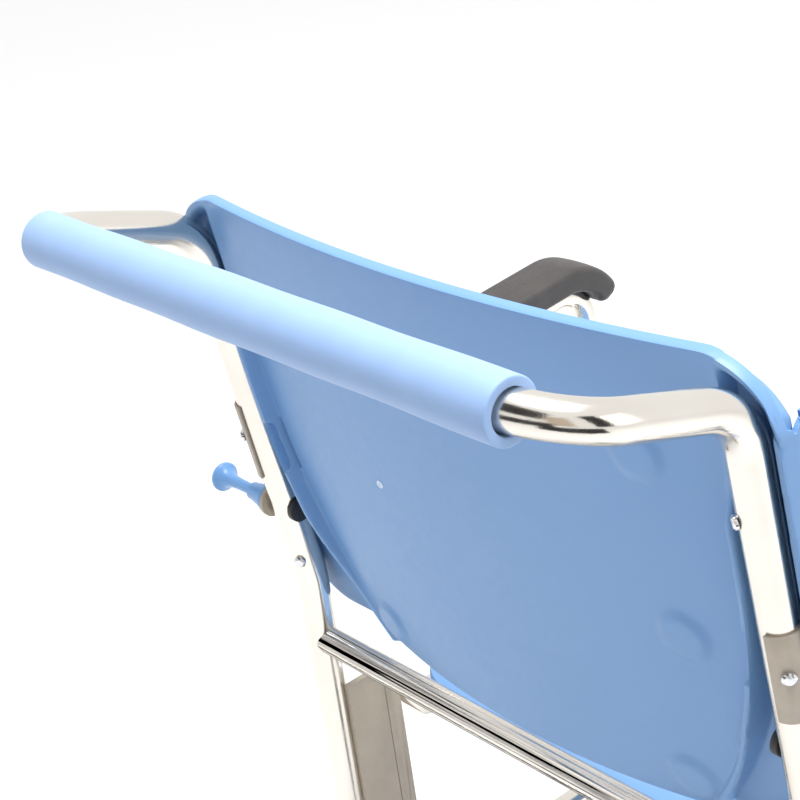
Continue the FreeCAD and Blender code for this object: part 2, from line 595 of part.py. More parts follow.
def front_frame():
    """Two legs joined by a cross tube low down, with pins for the seat, the link,
    the footrest and the lift handles."""
    skins = []
    bores = []
    pins = []
    caps = []
    sockets = []
    lift_pins = []
    for word, side in SIDES:
        out = X_AXIS * side
        foot = V(side * size("leg_x"), FRONT_Y, size("leg_bottom"))
        skins.append(cylinder("front_leg_" + word, foot, Z_AXIS, "rail_d / 2", "leg_top - leg_bottom"))
        bores.append(cylinder("front_leg_bore_" + word, foot - Z_AXIS, Z_AXIS,
                              "rail_d / 2 - rail_wall", "leg_top - leg_bottom + 2"))
        for level in ("seat", "link"):
            at = V(side * (size("rail_x") - size("rail_d") / 2 - 3), FRONT_Y, size(level + "_hinge_z"))
            length = "leg_x - rail_x + rail_d + 5"
            pins.append(cylinder("front_pin_%s_%s" % (level, word), at, out, "pin_d / 2", length))
            bores.append(cylinder("front_pin_hole_%s_%s" % (level, word), at, out, "pin_d / 2", length))
        lift_at = V(side * (size("leg_x") - size("rail_d") / 2 - 1), FRONT_Y, size("lift_pin_z"))
        lift_reach = "lift_x - leg_x + rail_d / 2 + lift_d / 2 + 4"
        shank = cylinder("lift_pin_shank_" + word, lift_at, out, "bolt_d / 2", lift_reach)
        head = cylinder("lift_pin_head_" + word,
                        V(side * (size("lift_x") + size("lift_d") / 2 + 0.5), FRONT_Y,
                          size("lift_pin_z")), out, "bolt_d / 2 + 3", "3")
        lift_pins.append(fuse("lift_pin_" + word, shank, head))
        bores.append(cylinder("lift_pin_hole_" + word, lift_at, out, "bolt_d / 2", lift_reach))
        top = V(side * size("leg_x"), FRONT_Y, size("leg_top"))
        caps.append(fuse("leg_cap_" + word,
                         cylinder("leg_cap_rim_" + word, top, Z_AXIS, "rail_d / 2", "3"),
                         cylinder("leg_cap_stub_" + word, top - Z_AXIS * 7, Z_AXIS,
                                  "rail_d / 2 - rail_wall", "8")))
        rim = cylinder("socket_rim_" + word, foot - Z_AXIS * 6, Z_AXIS, "rail_d / 2 + 1", "6")
        stub = cylinder("socket_stub_" + word, foot - Z_AXIS, Z_AXIS, "rail_d / 2 - rail_wall", "46")
        hole = cylinder("socket_hole_" + word, foot - Z_AXIS * 8, Z_AXIS, "stem_d / 2 + running_gap",
                        "44")
        sockets.append(cut("socket_" + word, fuse("socket_skin_" + word, rim, stub), hole))
    skins.append(cylinder("front_cross", V(-size("leg_x"), FRONT_Y, size("cross_z")), X_AXIS,
                          "rail_d / 2 - 1", "2 * leg_x"))
    bores.append(cylinder("front_cross_bore", V(-size("leg_x"), FRONT_Y, size("cross_z")), X_AXIS,
                          "rail_d / 2 - 1 - rail_wall", "2 * leg_x"))
    keep("front_frame", cut("front_frame_whole", fuse("front_frame_skin", *skins), *bores))
    keep("front_pivot_pins", group("front_pin_set", *pins))
    keep("front_leg_caps", group("leg_cap_pair", *caps))
    keep("castor_sockets", group("socket_pair", *sockets))
    keep("lift_pins", group("lift_pin_pair", *lift_pins))


def footrest():
    """Board on two arms that turn on pins held by lugs of the cross tube."""
    lugs = []
    pins = []
    arms = []
    pin = V(0, size("foot_pin_y"), size("cross_z"))
    cross = cylinder("foot_cross_core", V(-size("leg_x"), FRONT_Y, size("cross_z")), X_AXIS,
                     "rail_d / 2 - 1", "2 * leg_x")
    for word, side in SIDES:
        out = X_AXIS * side
        inner = V(side * (size("foot_arm_x") - 6), 0, 0)
        eye = cylinder("lug_eye_" + word, pin + inner, out, "7", "5")
        web = box("lug_web_" + word, V(min(inner.x, inner.x + side * 5), size("foot_pin_y"),
                                       size("cross_z") - 7), "5", "26", "14")
        hole = cylinder("lug_hole_" + word, pin + inner - out, out, "foot_pin_d / 2", "7")
        lugs.append(cut("foot_lug_" + word, fuse("foot_lug_skin_" + word, eye, web), hole, cross))
        pins.append(cylinder("foot_pin_" + word, pin + inner - out, out, "foot_pin_d / 2", "14"))
        arm_x = side * (size("foot_arm_x") + 0.2)
        low = V(min(arm_x, arm_x + side * 5), size("foot_pin_y") - 9, size("foot_under") + 1)
        strap = box("foot_strap_" + word, low, "5", "18", "cross_z - foot_under - 1")
        eye = cylinder("foot_eye_" + word, pin + V(arm_x, 0, 0), out, "9", "5")
        bore = cylinder("foot_bore_" + word, pin + V(arm_x, 0, 0) - out, out,
                        "foot_pin_d / 2 + running_gap", "7")
        arms.append(cut("foot_arm_" + word, fuse("foot_arm_skin_" + word, strap, eye), bore))
    board = doc.addObject("PartDesign::Body", "foot_board")
    face = sketch_on(board, "XY_Plane", "foot_outline")
    outline(face, [("-foot_half", "foot_front"), ("foot_half", "foot_front"),
                   ("foot_half", "foot_rear"), ("-foot_half", "foot_rear")])
    slab = pad(board, face, "foot_thick")
    doc.recompute()
    tall = ["Edge%d" % (index + 1) for index, edge in enumerate(slab.Shape.Edges)
            if abs(edge.tangentAt(edge.FirstParameter).z) > 0.9 and edge.BoundBox.YMax < -300]
    corners = board.newObject("PartDesign::Fillet", "foot_corners")
    corners.Base = (slab, tall)
    corners.Radius = 30
    board.Placement = FreeCAD.Placement(V(0, 0, size("foot_under")), FreeCAD.Rotation())
    keep("footrest_lugs", group("foot_lug_pair", *lugs))
    keep("footrest_pins", group("foot_pin_pair", *pins))
    keep("footrest_arms", group("foot_arm_pair", *arms))
    keep("footrest_board", cut("foot_board_notched", board, *[
        box("foot_notch_" + word, V(min(side * size("foot_arm_x"), side * (size("foot_arm_x") + 5.4)),
                                    size("foot_rear") - 6, size("foot_under") - 1),
            "5.4", "20", "foot_thick + 2") for word, side in SIDES]))


def lift_handles():
    """Carrying tubes that hang beside the front legs and swing out forwards."""
    for word, side in SIDES:
        out = X_AXIS * side
        pin = V(side * size("lift_x"), FRONT_Y, size("lift_pin_z"))
        low = pin - Z_AXIS * (size("lift_length") - 12)
        shaft = cylinder("lift_skin_" + word, low, Z_AXIS, "lift_d / 2", "lift_length")
        bore = cylinder("lift_bore_" + word, low + Z_AXIS * 5, Z_AXIS, "lift_d / 2 - lift_wall",
                        "lift_length - 40")
        hole = cylinder("lift_hole_" + word, pin - out * size("lift_d"), out,
                        "bolt_d / 2 + running_gap", "2 * lift_d")
        keep("lift_tube_" + word, cut("lift_tube_body_" + word, shaft, bore, hole))
        skin = cylinder("grip_skin_" + word, low - Z_AXIS * 4, Z_AXIS, "grip_d / 2", "grip_length")
        core = cylinder("grip_core_" + word, low, Z_AXIS, "lift_d / 2", "grip_length")
        keep("lift_grip_" + word, cut("lift_grip_body_" + word, skin, core))


def castors():
    """Swivelling fork with its stem, an axle, and a wheel with a rubber tyre."""
    radius = size("castor_d") / 2
    half = size("castor_width") / 2 + 1 + size("fork_wall")
    for word, side in SIDES:
        swivel = V(side * size("leg_x"), FRONT_Y, 0)
        axle = V(swivel.x, FRONT_Y - size("castor_trail"), radius)
        crown = cylinder("crown_" + word, V(swivel.x, FRONT_Y, size("fork_top") - 8), Z_AXIS,
                         "castor_width / 2 + 1 + fork_wall", "8")
        stem = cylinder("stem_" + word, V(swivel.x, FRONT_Y, size("fork_top") - 2), Z_AXIS, "stem_d / 2",
                        "46")
        hub_ring = cylinder("fork_collar_" + word, V(swivel.x, FRONT_Y, size("fork_top")), Z_AXIS,
                            "stem_d / 2 + 3", "leg_bottom - 6 - fork_top - 0.3")
        deck = box("fork_deck_" + word, V(swivel.x - half, axle.y, size("fork_top") - 8),
                   "castor_width + 2 + 2 * fork_wall", "castor_trail", "8")
        cheeks = []
        for cheek, sign in (("in", -1), ("out", 1)):
            start = swivel.x + sign * (size("castor_width") / 2 + 1)
            low_x = min(start, start + sign * size("fork_wall"))
            cheeks.append(box("cheek_%s_%s" % (cheek, word), V(low_x, axle.y - 11, radius),
                              "fork_wall", "22", "fork_top - castor_d / 2"))
            cheeks.append(cylinder("cheek_end_%s_%s" % (cheek, word), V(low_x, axle.y, radius),
                                   X_AXIS, "11", "fork_wall"))
        hole = cylinder("fork_hole_" + word, V(axle.x - 30, axle.y, radius), X_AXIS,
                        "castor_axle_d / 2", "60")
        whole = fuse("fork_skin_" + word, crown, stem, hub_ring, deck, *cheeks)
        keep("castor_fork_" + word, cut("castor_fork_body_" + word, whole, hole))
        shaft = cylinder("castor_shaft_" + word, V(axle.x - half - 1, axle.y, radius), X_AXIS,
                         "castor_axle_d / 2", "castor_width + 4 + 2 * fork_wall")
        keep("castor_axle_" + word, shaft)
        start = V(axle.x - size("castor_width") / 2, axle.y, radius)
        centre = cylinder("castor_centre_" + word, start, X_AXIS, "castor_d / 2 - castor_tyre",
                          "castor_width")
        bore = cylinder("castor_bore_" + word, start - X_AXIS, X_AXIS,
                        "castor_axle_d / 2 + running_gap", "castor_width + 2")
        keep("castor_wheel_" + word, cut("castor_wheel_body_" + word, centre, bore))
        band = doc.addObject("Part::Fillet", "castor_tread_" + word)
        ring = cylinder("castor_ring_" + word, start, X_AXIS, "castor_d / 2", "castor_width")
        doc.recompute()
        band.Base = ring
        band.Edges = [(index + 1, 5.0, 5.0) for index, edge in enumerate(ring.Shape.Edges)
                      if edge.Curve.TypeId == "Part::GeomCircle"]
        core = cylinder("castor_core_" + word, start - X_AXIS, X_AXIS, "castor_d / 2 - castor_tyre",
                        "castor_width + 2")
        keep("castor_tyre_" + word, cut("castor_tyre_body_" + word, band, core))


# ---------------------------------------------------------------- rear wheels

def rear_wheels():
    """Dished plastic wheel with a hub on the axle, inside a rounded rubber tyre."""
    z = size("wheel_d") / 2
    for word, side in SIDES:
        start = V(side * size("wheel_x") - size("wheel_width") / 2, KINK.y, z)
        rim = cylinder("wheel_rim_" + word, start + X_AXIS * 2, X_AXIS, "wheel_d / 2 - tyre_thick",
                       "wheel_width - 4")
        hub = cylinder("wheel_hub_" + word, start, X_AXIS, "hub_d / 2", "wheel_width")
        bore = cylinder("wheel_bore_" + word, start - X_AXIS, X_AXIS, "axle_d / 2 + running_gap",
                        "wheel_width + 2")
        dishes = []
        for face, offset in (("in", -1), ("out", size("wheel_width") / 2 + 5)):
            bowl = cylinder("dish_%s_%s" % (face, word), start + X_AXIS * offset, X_AXIS,
                            "wheel_d / 2 - tyre_thick - 6", "wheel_width / 2 - 4")
            island = cylinder("island_%s_%s" % (face, word), start + X_AXIS * (offset - 1), X_AXIS,
                              "hub_d / 2", "wheel_width")
            dishes.append(cut("dish_ring_%s_%s" % (face, word), bowl, island))
        keep("rear_wheel_" + word,
             cut("rear_wheel_body_" + word, fuse("wheel_skin_" + word, rim, hub), bore, *dishes))
        ring = cylinder("tyre_ring_" + word, start, X_AXIS, "wheel_d / 2", "wheel_width")
        doc.recompute()
        band = doc.addObject("Part::Fillet", "tyre_band_" + word)
        band.Base = ring
        band.Edges = [(index + 1, 9.0, 9.0) for index, edge in enumerate(ring.Shape.Edges)
                      if edge.Curve.TypeId == "Part::GeomCircle"]
        core = cylinder("tyre_core_" + word, start - X_AXIS, X_AXIS, "wheel_d / 2 - tyre_thick",
                        "wheel_width + 2")
        keep("rear_tyre_" + word, cut("rear_tyre_body_" + word, band, core))


# ---------------------------------------------------------------- armrests

def armrests():
    """Bent tube with a bush for the pivot bolt, a nose plug and a soft pad that
    follows the tube's top and curls over its nose."""
    radius = size("rest_d") / 2
    for word, side in SIDES:
        x = side * size("rest_x")
        root = V(side * size("rest_root"), size("rest_pivot_y"), size("rest_pivot_z"))
        elbow = V(x, size("rest_pivot_y"), size("rest_pivot_z"))
        nose = V(x, size("rest_nose_y"), size("rest_nose_z"))
        tip = V(x, size("rest_tip_y"), size("rest_tip_z"))
        bends = [size("rest_root_bend"), size("rest_nose_bend")]
        keep("arm_tube_" + word, bent_tube("arm_tube_body_" + word, [root, elbow, nose, tip], bends,
                                           "rest_d", "rest_wall"))
        out = X_AXIS * side
        bush = cut("arm_bush_" + word,
                   cylinder("bush_skin_" + word, root, out, "rest_d / 2 - rest_wall", "14"),
                   cylinder("bush_hole_" + word, root - out, out, "bolt_d / 2 + running_gap", "16"))
        away = (tip - nose).normalize()
        plug = fuse("nose_plug_" + word,
                    cylinder("nose_stub_" + word, tip - away * 5, away, "rest_d / 2 - rest_wall", "5"),
                    cylinder("nose_rim_" + word, tip, away, "rest_d / 2", "3"))
        keep("arm_plugs_" + word, group("arm_plug_pair_" + word, bush, plug))
        along = (nose - elbow).normalize()
        turn = along.getAngle(away)
        middle = (away - along).normalize()
        centre = nose + middle * size("rest_nose_bend") / math.cos(turn / 2)
        up = (nose - along * size("rest_nose_bend") * math.tan(turn / 2) - centre).normalize()
        lift = radius - size("pad_sink") + size("pad_thick") / 2
        spine_bend = size("rest_nose_bend") + lift
        curl = math.radians(size("pad_curl"))

        def on_bend(angle):
            return centre + (up * math.cos(angle) + along * math.sin(angle)) * spine_bend

        start = elbow + along * size("pad_start") + up * lift
        path = Part.Wire([Part.LineSegment(start, on_bend(0)).toShape(),
                          Part.Arc(on_bend(0), on_bend(curl / 2), on_bend(curl)).toShape()])
        half = X_AXIS * (size("pad_width") / 2)
        high = up * (size("pad_thick") / 2)
        ring = Part.makePolygon([start - half - high, start + half - high, start + half + high,
                                 start - half + high, start - half - high])
        block = path.makePipeShell([ring], True, False)
        soft = doc.addObject("Part::Feature", "pad_block_" + word)
        soft.Shape = block
        tube_path, _ = bent_path([root, elbow, nose, tip], bends)
        groove = doc.addObject("Part::Feature", "pad_groove_" + word)
        groove.Shape = swept(tube_path, root, elbow - root, radius)
        keep("arm_pad_" + word, cut("arm_pad_body_" + word, soft, groove))


handle_loop()
foam_grip()
back_shell()
upright_screws()
saddles()
arm_brackets()
pull_knobs()
cross_tubes()
hinge_plates()
rear_axle()
seat()
lower_link()
front_frame()
footrest()
lift_handles()
castors()
rear_wheels()
armrests()

doc.recompute()
for thing in doc.Objects:
    assert not {"Invalid", "Error"} & set(thing.State), "%s: %s" % (thing.Label, thing.State)
for label, thing in nodes.items():
    assert not thing.Shape.isNull() and thing.Shape.isValid(), label
    assert thing.Shape.Solids and thing.Shape.Volume > 0, label

os.makedirs("parts", exist_ok=True)
for label, thing in nodes.items():
    thing.Shape.exportStep("parts/%s.step" % label)
print(len(nodes), "sub-parts written")
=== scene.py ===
import math

import bmesh
import bpy
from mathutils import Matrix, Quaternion, Vector


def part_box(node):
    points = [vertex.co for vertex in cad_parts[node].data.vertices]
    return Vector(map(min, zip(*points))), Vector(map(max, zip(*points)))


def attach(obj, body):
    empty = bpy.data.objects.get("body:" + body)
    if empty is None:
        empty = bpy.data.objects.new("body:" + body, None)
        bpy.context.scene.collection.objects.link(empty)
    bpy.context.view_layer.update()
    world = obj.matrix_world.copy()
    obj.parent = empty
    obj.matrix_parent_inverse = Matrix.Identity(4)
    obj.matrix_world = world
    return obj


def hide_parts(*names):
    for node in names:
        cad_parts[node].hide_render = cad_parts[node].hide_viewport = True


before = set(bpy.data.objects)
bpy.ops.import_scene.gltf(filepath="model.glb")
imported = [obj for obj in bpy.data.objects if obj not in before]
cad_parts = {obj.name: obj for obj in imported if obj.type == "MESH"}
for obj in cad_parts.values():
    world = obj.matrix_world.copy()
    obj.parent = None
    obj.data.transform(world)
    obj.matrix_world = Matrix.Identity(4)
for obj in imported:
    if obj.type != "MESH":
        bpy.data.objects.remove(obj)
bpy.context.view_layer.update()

# The push bar lies across the top of the chair: its middle is the middle of the foam
# grip's box, and the two uprights stand in one plane that leans back from the seat.
# Sizes are in metres.
grip_low, grip_high = (Vector(corner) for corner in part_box("foam_grip"))
BAR = (grip_low + grip_high) / 2
LEAN = math.radians(8.65)
DOWN = Vector((0, -math.sin(LEAN), -math.cos(LEAN)))
REAR = Vector((0, math.cos(LEAN), -math.sin(LEAN)))
UPRIGHT_X = 0.248
UPRIGHT_TOP = BAR + Vector((0, -0.132, -0.044))
LEFT, RIGHT = 1, -1
SIDES = (("left", LEFT), ("right", RIGHT))


def on_back(across, along, proud=0.0):
    """A point of the back's plane: across the chair, down the uprights, and rearwards."""
    return Vector((across, UPRIGHT_TOP.y, UPRIGHT_TOP.z)) + DOWN * along + REAR * proud


# Camera: behind the occupant's right shoulder, looking down along the push bar, with the
# camera rolled a little so that the bar falls away to the left.
CAMERA_OFFSET = Vector((-0.8459, 0.5490, 0.4147))
LOOK = Vector((0.7149, -0.5491, -0.4328))
ROLL = math.radians(-8.2)
bpy.ops.object.select_all(action="DESELECT")
bpy.ops.object.camera_add(location=BAR + CAMERA_OFFSET)
camera = bpy.context.object
camera.name = "camera"
camera.data.lens = 85.9
camera.data.sensor_width = 36
camera.data.clip_start = 0.01
camera.rotation_mode = "QUATERNION"
camera.rotation_quaternion = LOOK.to_track_quat("-Z", "Y") @ Quaternion((0, 0, 1), ROLL)
bpy.context.scene.camera = camera


# Handle loop: push bar, uprights and rear legs in one aluminium tube, drawn, bent on a
# mandrel and polished. It flattens a little in each bend.
TUBE_RADIUS = 0.0127
TUBE_WALL = 0.0016
LOOP_BEND = 0.050
LEG_BEND = 0.090


def finish(name, colour, roughness, metallic=0.0, **more):
    """A material with its shader, ready for its own texture nodes."""
    made = bpy.data.materials.new(name)
    made.use_nodes = True
    shader = made.node_tree.nodes["Principled BSDF"]
    shader.inputs["Base Color"].default_value = (*colour, 1)
    shader.inputs["Roughness"].default_value = roughness
    shader.inputs["Metallic"].default_value = metallic
    for socket, value in more.items():
        shader.inputs[socket.replace("_", " ")].default_value = value
    return made, made.node_tree, shader


def noise(tree, scale, detail=4.0, stretch=(1, 1, 1)):
    place = tree.nodes.new("ShaderNodeTexCoord")
    mapping = tree.nodes.new("ShaderNodeMapping")
    mapping.inputs["Scale"].default_value = stretch
    texture = tree.nodes.new("ShaderNodeTexNoise")
    texture.inputs["Scale"].default_value = scale
    texture.inputs["Detail"].default_value = detail
    tree.links.new(place.outputs["Object"], mapping.inputs["Vector"])
    tree.links.new(mapping.outputs["Vector"], texture.inputs["Vector"])
    return texture.outputs["Fac"]


def spread(tree, source, low, high):
    """A texture's grey, spread from one value to another."""
    node = tree.nodes.new("ShaderNodeMapRange")
    node.inputs["From Min"].default_value = 0.3
    node.inputs["From Max"].default_value = 0.7
    node.inputs["To Min"].default_value = low
    node.inputs["To Max"].default_value = high
    tree.links.new(source, node.inputs["Value"])
    return node.outputs["Result"]


def tint(tree, shader, source, first, second):
    node = tree.nodes.new("ShaderNodeMix")
    node.data_type = "RGBA"
    node.inputs["A"].default_value = (*first, 1)
    node.inputs["B"].default_value = (*second, 1)
    tree.links.new(source, node.inputs["Factor"])
    tree.links.new(node.outputs["Result"], shader.inputs["Base Color"])


def relief(tree, shader, source, height):
    node = tree.nodes.new("ShaderNodeBump")
    node.inputs["Strength"].default_value = 1.0
    node.inputs["Distance"].default_value = height
    tree.links.new(source, node.inputs["Height"])
    tree.links.new(node.outputs["Normal"], shader.inputs["Normal"])


def polished_aluminium():
    made, tree, shader = finish("polished_aluminium", (0.84, 0.80, 0.735), 0.16, 1.0)
    tint(tree, shader, spread(tree, noise(tree, 9), 0.0, 1.0), (0.84, 0.80, 0.735), (0.76, 0.715, 0.65))
    tree.links.new(spread(tree, noise(tree, 34, 8), 0.10, 0.24), shader.inputs["Roughness"])
    relief(tree, shader, noise(tree, 900, 3), 0.00003)
    return made


def bent_tube(name, points, bends, radius, wall, sides=40):
    """A ring extruded along each straight run and spun round each bend."""
    points = [Vector(point) for point in points]
    bpy.ops.object.select_all(action="DESELECT")
    heading = points[1] - points[0]
    bpy.ops.mesh.primitive_circle_add(vertices=sides, radius=radius, location=points[0],
                                      rotation=heading.to_track_quat("Z", "X").to_euler())
    piece = bpy.context.object
    piece.name = name
    bpy.ops.object.transform_apply()
    bpy.ops.object.mode_set(mode="EDIT")
    place = points[0]
    for corner, after, bend in zip(points[1:-1], points[2:], bends):
        into = (corner - place).normalized()
        away = (after - corner).normalized()
        turn = into.angle(away)
        reach = bend * math.tan(turn / 2)
        run = corner - into * reach - place
        bpy.ops.mesh.extrude_edges_move(TRANSFORM_OT_translate={"value": run})
        inward = (away - into).normalized()
        centre = corner + inward * bend / math.cos(turn / 2)
        bpy.ops.mesh.spin(steps=max(6, round(math.degrees(turn) / 5)), angle=-turn, center=centre,
                          axis=into.cross(away).normalized())
        place = corner + away * reach
    bpy.ops.mesh.extrude_edges_move(TRANSFORM_OT_translate={"value": points[-1] - place})
    bpy.ops.mesh.select_all(action="SELECT")
    bpy.ops.mesh.remove_doubles(threshold=0.00001)
    bpy.ops.mesh.normals_make_consistent(inside=False)
    bpy.ops.object.mode_set(mode="OBJECT")
    shell = piece.modifiers.new("wall", "SOLIDIFY")
    shell.thickness = wall
    shell.offset = -1
    bpy.ops.object.modifier_apply(modifier="wall")
    bpy.ops.object.shade_smooth_by_angle(angle=math.radians(40))
    return piece


def flatten(piece, corner, axis, reach, squeeze):
    """Presses a bend in, square to the axis that it was bent about."""
    for vertex in piece.data.vertices:
        away = vertex.co - corner
        strength = max(0.0, 1 - (away.length / reach) ** 2) ** 2
        vertex.co += axis * away.dot(axis) * squeeze * strength


def dress(piece, body, slot, material, *nodes):
    """Gives a piece its finish and hangs it on the frame in place of its CAD nodes."""
    piece.data.materials.clear()
    piece.data.materials.append(material)
    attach(piece, body)
    if nodes:
        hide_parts(*nodes)
    return piece


BRIGHT = polished_aluminium()
leg_low = Vector(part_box("handle_loop_tube")[0])
kink = UPRIGHT_TOP + DOWN * 0.314
half_loop = [Vector((UPRIGHT_X, kink.y, leg_low.z)), Vector((UPRIGHT_X, kink.y, kink.z)),
             Vector((UPRIGHT_X, UPRIGHT_TOP.y, UPRIGHT_TOP.z)), Vector((0.250, BAR.y, BAR.z))]
other_half = [Vector((-point.x, point.y, point.z)) for point in reversed(half_loop)]
loop_bends = [LEG_BEND, LOOP_BEND, LOOP_BEND, LOOP_BEND, LOOP_BEND, LEG_BEND]
loop = bent_tube("handle_loop", half_loop + other_half, loop_bends, TUBE_RADIUS, TUBE_WALL, 56)
arm_way = (half_loop[3] - half_loop[2]).normalized()
for name, side in SIDES:
    upper = Vector((side * half_loop[2].x, half_loop[2].y, half_loop[2].z))
    outer = Vector((side * half_loop[3].x, half_loop[3].y, half_loop[3].z))
    flatten(loop, upper, Vector((1, 0, 0)), 0.055, 0.07)
    flatten(loop, outer, Vector((0, arm_way.z, -arm_way.y)), 0.060, -0.07)
dress(loop, "rear_frame", "bright_tube", BRIGHT, "handle_loop_tube")


# Foam grip: a light blue closed-cell sleeve pushed over the middle of the bar, cut square
# at both ends, a little soft so that it isn't perfectly straight.
FOAM_RADIUS = 0.019
FOAM_HALF = 0.218
FOAM_BLUE = (0.280, 0.432, 0.715)


def foam_skin():
    made, tree, shader = finish("closed_cell_foam", FOAM_BLUE, 0.55, Sheen_Weight=0.12,
                                Sheen_Roughness=0.5)
    tint(tree, shader, spread(tree, noise(tree, 60), 0.0, 1.0), FOAM_BLUE, (0.295, 0.448, 0.735))
    relief(tree, shader, noise(tree, 2600, 2), 0.00006)
    return made


FOAM = foam_skin()
bpy.ops.object.select_all(action="DESELECT")
bpy.ops.mesh.primitive_cylinder_add(vertices=64, radius=FOAM_RADIUS, depth=2 * FOAM_HALF, location=BAR,
                                    rotation=(0, math.pi / 2, 0), end_fill_type="NGON")
sleeve = bpy.context.object
sleeve.name = "foam_sleeve"
bpy.ops.object.transform_apply()
bpy.ops.object.mode_set(mode="EDIT")
bpy.ops.mesh.select_all(action="DESELECT")
mesh = bmesh.from_edit_mesh(sleeve.data)
for face in mesh.faces:
    face.select = abs(face.normal.x) > 0.9
bpy.ops.mesh.inset(thickness=FOAM_RADIUS - TUBE_RADIUS - 0.0002, depth=0)
bpy.ops.mesh.inset(thickness=0.0002, depth=-0.012)
bpy.ops.object.mode_set(mode="OBJECT")
edge = sleeve.modifiers.new("cut_edge", "BEVEL")
edge.width = 0.0012
edge.segments = 3
edge.limit_method = "ANGLE"
edge.angle_limit = math.radians(50)
bpy.ops.object.modifier_apply(modifier="cut_edge")
bpy.ops.object.mode_set(mode="EDIT")
for step in range(1, 24):
    bpy.ops.mesh.select_all(action="SELECT")
    bpy.ops.mesh.bisect(plane_co=BAR + Vector((-FOAM_HALF + step * FOAM_HALF / 12, 0, 0)),
                        plane_no=(1, 0, 0))
bpy.ops.object.mode_set(mode="OBJECT")
for vertex in sleeve.data.vertices:
    around = Vector((0, vertex.co.y - BAR.y, vertex.co.z - BAR.z))
    if around.length > FOAM_RADIUS * 0.9:
        swell = 0.00022 * math.sin(vertex.co.x * 61) + 0.00018 * math.sin(vertex.co.x * 23 + 1)
        vertex.co += around.normalized() * swell
bpy.ops.object.shade_smooth_by_angle(angle=math.radians(40))
dress(sleeve, "rear_frame", "blue_foam", FOAM, "foam_grip")


# Back: one blue moulding. Its panel bows rearwards, a ridge stands beside each upright, the
# upright lies in a channel, and a wing wraps forward outside it and curls in. The rim is a
# flange turned forward; the wing is notched round the armrest's bracket.
SHELL_WALL = 0.0034
PANEL_BACK = -0.003
BOW = 0.017
RIDGE = 0.012
FLOOR = -0.0154
TOP_RISE = 0.026
CORNER = 0.054
SHELL_HALF = 0.2712
SHELL_FOOT = 0.3455
LOW_CORNER = 0.046
FLANGE = 0.008
SHELL_BLUE = (0.155, 0.315, 0.590)


def smooth_step(value, low, high):
    part = min(1.0, max(0.0, (value - low) / (high - low)))
    return part * part * (3 - 2 * part)


def panel_edge(along):
    """Half width of the panel: straight, then drawn in round the lower corners."""
    return 0.2320 - 0.049 * max(0.0, (along - 0.100) / 0.212) ** 2.4


def section(along, below):
    """Half of the back's section as corners (across, proud), centre to wing."""
    edge = panel_edge(along)
    ridge = PANEL_BACK + RIDGE * smooth_step(along, 0.050, 0.085)
    ridge -= 0.009 * smooth_step(along, 0.230, 0.320)
    floor = -0.002 + (FLOOR + 0.002) * smooth_step(below, 0.005, 0.014)
    return [(edge - 0.0070, PANEL_BACK), (edge - 0.0040, ridge), (edge, ridge),
            (edge + 0.0020, floor), (0.2632, floor), (0.2655, -0.001), (0.2700, -0.001),
            (0.2708, -0.014), (0.2690, -0.030), (0.2640, -0.0345), (0.2580, -0.0345)]


def top_edge(across):
    """How far down the uprights the moulding starts at that distance across."""
    part = min(1.0, max(0.0, (across - SHELL_HALF + CORNER) / CORNER))
    return -TOP_RISE + CORNER * (1 - (1 - part ** 2.2) ** (1 / 2.2))


def low_edge(across):
    """How far down the uprights it ends: level, with round lower corners."""
    part = min(1.0, max(0.0, (across - SHELL_HALF + LOW_CORNER) / LOW_CORNER))
    return SHELL_FOOT - LOW_CORNER * (1 - math.sqrt(1 - part * part))


def along_section(corners, distance):
    """The point that lies that far along a line of corners."""
    for first, second in zip(corners, corners[1:]):
        leg = math.dist(first, second)
        if distance <= leg:
            part = distance / leg
            return tuple(a + (b - a) * part for a, b in zip(first, second))
        distance -= leg
    return corners[-1]


PANEL_COLUMNS = 0.56
WING_CURL = 0.90
WING_WIDEST = 0.2706
FLANGE_ROWS = 0.035
BOSSES = ((-0.165, 0.055), (0.165, 0.055), (-0.172, 0.190), (0.150, 0.320), (-0.150, 0.320))
BOSS_RADIUS = 0.0180
BOSS_HIGH = 0.0036
NOTCH_IN, NOTCH_TOP, NOTCH_FOOT = 0.246, 0.224, 0.278
SLOT_TOP, SLOT_FOOT, SLOT_DEEP = 0.158, 0.200, 0.0070
SLOT_ROUND = 0.003


def shell_point(part, row):
    """Where one grid point goes: part runs across from -1 to 1, row down from 0 to 1."""
    side = -1 if part < 0 else 1
    part = abs(part)
    down = max(0.0, row - FLANGE_ROWS) / (1 - FLANGE_ROWS)
    along, start = 0.15, -TOP_RISE
    for _ in range(6):
        corners = section(along, along - start)
        if part < PANEL_COLUMNS:
            across, proud = corners[0][0] * part / PANEL_COLUMNS, PANEL_BACK
        else:
            legs = sum(math.dist(a, b) for a, b in zip(corners, corners[1:]))
            reach = (part - PANEL_COLUMNS) / (1 - PANEL_COLUMNS) * legs
            across, proud = along_section(corners, reach)
        rim = max(across, WING_WIDEST) if part > WING_CURL else across
        start = top_edge(rim)
        along = start + (low_edge(rim) - start) * down
    if part < PANEL_COLUMNS:
        edge = corners[0][0]
        proud = PANEL_BACK + BOW * (1 - (across / edge) ** 2)
        for x, y in BOSSES:
            away = math.dist((side * across, along), (x, y))
            proud += BOSS_HIGH * (1 - smooth_step(away, BOSS_RADIUS - 0.0026, BOSS_RADIUS + 0.0014))
    turned_forward = max(0.0, 1 - row / FLANGE_ROWS)
    proud -= FLANGE * turned_forward * (1 - smooth_step(-proud, 0.004, 0.014))
    return on_back(side * across, along, proud)


